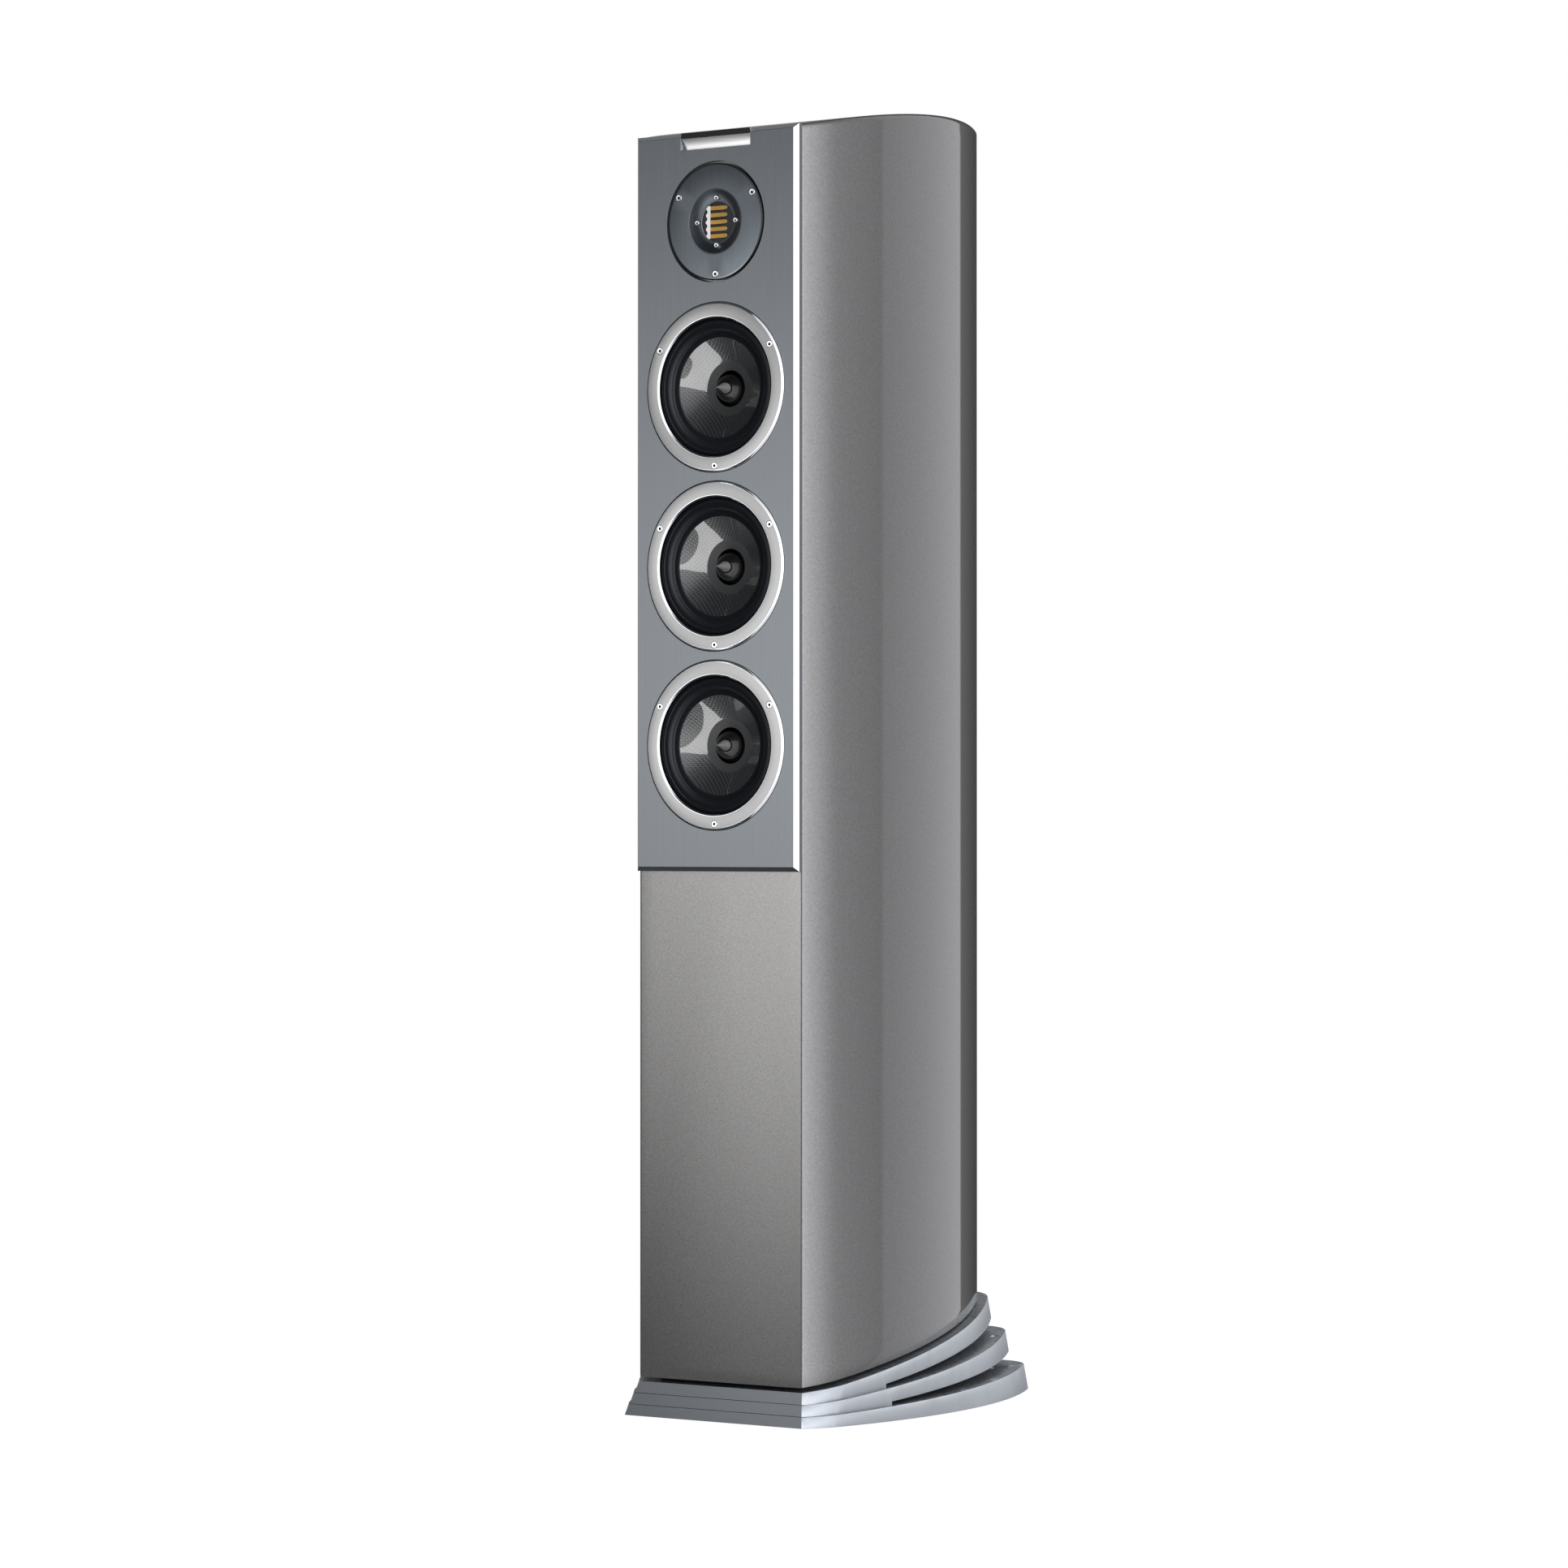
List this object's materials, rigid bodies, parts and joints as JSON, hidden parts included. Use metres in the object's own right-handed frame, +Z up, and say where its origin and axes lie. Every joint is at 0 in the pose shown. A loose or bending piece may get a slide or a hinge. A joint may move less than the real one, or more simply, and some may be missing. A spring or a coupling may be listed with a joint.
{
  "type": "floorstanding speaker",
  "caption": "Tall floorstanding loudspeaker with curved sides, arched top, slate fascia with ribbon tweeter and ringed woofers, and a splayed layered base.",
  "frame": {"origin": "on the floor, under the centre of the base", "axes": "+Z up, the drivers face -Y, X = 0 is the plane of symmetry"},
  "size_m": [0.258, 0.42, 1.1781],
  "materials": {
    "cabinet_lacquer": "gloss metallic grey lacquer over fibreboard",
    "board": "raw fibreboard",
    "fascia_slate": "satin slate grey",
    "brushed_plate": "brushed",
    "plinth_silver": "satin silver",
    "black_trim": "matt black",
    "foot_rubber": "matt",
    "steel_fastener": "zinc plated",
    "machined_ring": "satin machined",
    "cast_basket": "cast, painted black",
    "surround_rubber": "matt black",
    "woven_cone": "woven fibre with a gloss coat",
    "gloss_plug": "polished black",
    "coil_copper": "wound wire on a former",
    "spider_cloth": "resin cloth",
    "magnet_steel": "ferrite and plated steel",
    "tweeter_slate": "brushed slate",
    "grid_metal": "satin dark",
    "gold_ribbon": "folded foil",
    "black_plastic": "moulded black",
    "terminal_brass": "gold plated",
    "terminal_cap": "fluted",
    "circuit_board": "board with components"
  },
  "bodies": {
    "cabinet": {"badge_plate": "brushed_plate", "bottom_panel": "cabinet_lacquer", "cabinet_braces": "board", "crossover_board": "circuit_board", "fascia_plate": "fascia_slate", "front_panel": "cabinet_lacquer", "plinth_bolts": "steel_fastener", "plinth_bottom_plate": "plinth_silver", "plinth_middle_plate": "plinth_silver", "plinth_spacer": "black_trim", "plinth_top_plate": "plinth_silver", "port_tube": "black_plastic", "rear_panel": "cabinet_lacquer", "side_panel_left": "cabinet_lacquer", "side_panel_right": "cabinet_lacquer", "terminal_plate": "black_plastic", "terminal_posts": "terminal_brass", "terminal_screws": "steel_fastener", "top_panel": "cabinet_lacquer", "tweeter_dish_ring": "tweeter_slate", "tweeter_faceplate": "tweeter_slate", "tweeter_grid": "grid_metal", "tweeter_magnet": "magnet_steel", "tweeter_rear_chamber": "black_plastic", "tweeter_ribbon": "gold_ribbon", "tweeter_screws": "steel_fastener", "woofer_1_basket": "cast_basket", "woofer_1_motor": "magnet_steel", "woofer_1_phase_plug": "gloss_plug", "woofer_1_spider": "spider_cloth", "woofer_1_surround": "surround_rubber", "woofer_1_trim_ring": "machined_ring", "woofer_2_basket": "cast_basket", "woofer_2_motor": "magnet_steel", "woofer_2_phase_plug": "gloss_plug", "woofer_2_spider": "spider_cloth", "woofer_2_surround": "surround_rubber", "woofer_2_trim_ring": "machined_ring", "woofer_3_basket": "cast_basket", "woofer_3_motor": "magnet_steel", "woofer_3_phase_plug": "gloss_plug", "woofer_3_spider": "spider_cloth", "woofer_3_surround": "surround_rubber", "woofer_3_trim_ring": "machined_ring", "woofer_screws": "steel_fastener"},
    "woofer_1_cone_assembly": {"woofer_1_cone": "woven_cone", "woofer_1_voice_coil": "coil_copper"},
    "woofer_2_cone_assembly": {"woofer_2_cone": "woven_cone", "woofer_2_voice_coil": "coil_copper"},
    "woofer_3_cone_assembly": {"woofer_3_cone": "woven_cone", "woofer_3_voice_coil": "coil_copper"},
    "terminal_positive_washer": {"terminal_washer_positive": "terminal_brass"},
    "terminal_positive_cap": {"terminal_cap_positive": "terminal_cap"},
    "terminal_negative_washer": {"terminal_washer_negative": "terminal_brass"},
    "terminal_negative_cap": {"terminal_cap_negative": "terminal_cap"},
    "foot_front_left": {"foot_front_left": "foot_rubber"},
    "foot_front_right": {"foot_front_right": "foot_rubber"},
    "foot_rear_left": {"foot_rear_left": "foot_rubber"},
    "foot_rear_right": {"foot_rear_right": "foot_rubber"}
  },
  "joints": [
    {"name": "woofer_1_cone_travel", "type": "slide", "parent": "cabinet", "child": "woofer_1_cone_assembly", "axis": [0, -1, 0], "range_m": [-0.006, 0.006], "stiffness_N_per_m": 900, "deforming": ["woofer_1_surround", "woofer_1_spider"]},
    {"name": "woofer_2_cone_travel", "type": "slide", "parent": "cabinet", "child": "woofer_2_cone_assembly", "axis": [0, -1, 0], "range_m": [-0.006, 0.006], "stiffness_N_per_m": 900, "deforming": ["woofer_2_surround", "woofer_2_spider"]},
    {"name": "woofer_3_cone_travel", "type": "slide", "parent": "cabinet", "child": "woofer_3_cone_assembly", "axis": [0, -1, 0], "range_m": [-0.006, 0.006], "stiffness_N_per_m": 900, "deforming": ["woofer_3_surround", "woofer_3_spider"]},
    {"name": "terminal_positive_cap_turn", "type": "hinge", "parent": "terminal_positive_washer", "child": "terminal_positive_cap", "pos_m": [0, 0.18, 0.179], "axis": [0, 1, 0], "range_deg": [0, 1080]},
    {"name": "terminal_positive_washer_lift", "type": "slide", "parent": "cabinet", "child": "terminal_positive_washer", "axis": [0, 1, 0], "range_m": [0, 0.0045]},
    {"name": "terminal_negative_cap_turn", "type": "hinge", "parent": "terminal_negative_washer", "child": "terminal_negative_cap", "pos_m": [0, 0.18, 0.141], "axis": [0, 1, 0], "range_deg": [0, 1080]},
    {"name": "terminal_negative_washer_lift", "type": "slide", "parent": "cabinet", "child": "terminal_negative_washer", "axis": [0, 1, 0], "range_m": [0, 0.0045]},
    {"name": "foot_front_left_height", "type": "slide", "parent": "cabinet", "child": "foot_front_left", "axis": [0, 0, -1], "range_m": [0, 0.01]},
    {"name": "foot_front_right_height", "type": "slide", "parent": "cabinet", "child": "foot_front_right", "axis": [0, 0, -1], "range_m": [0, 0.01]},
    {"name": "foot_rear_left_height", "type": "slide", "parent": "cabinet", "child": "foot_rear_left", "axis": [0, 0, -1], "range_m": [0, 0.01]},
    {"name": "foot_rear_right_height", "type": "slide", "parent": "cabinet", "child": "foot_rear_right", "axis": [0, 0, -1], "range_m": [0, 0.01]}
  ],
  "couplings": [
    {"joint": "terminal_positive_cap_turn", "follows": "terminal_positive_washer_lift", "rad_per_m": 4188.8},
    {"joint": "terminal_negative_cap_turn", "follows": "terminal_negative_washer_lift", "rad_per_m": 4188.8}
  ]
}
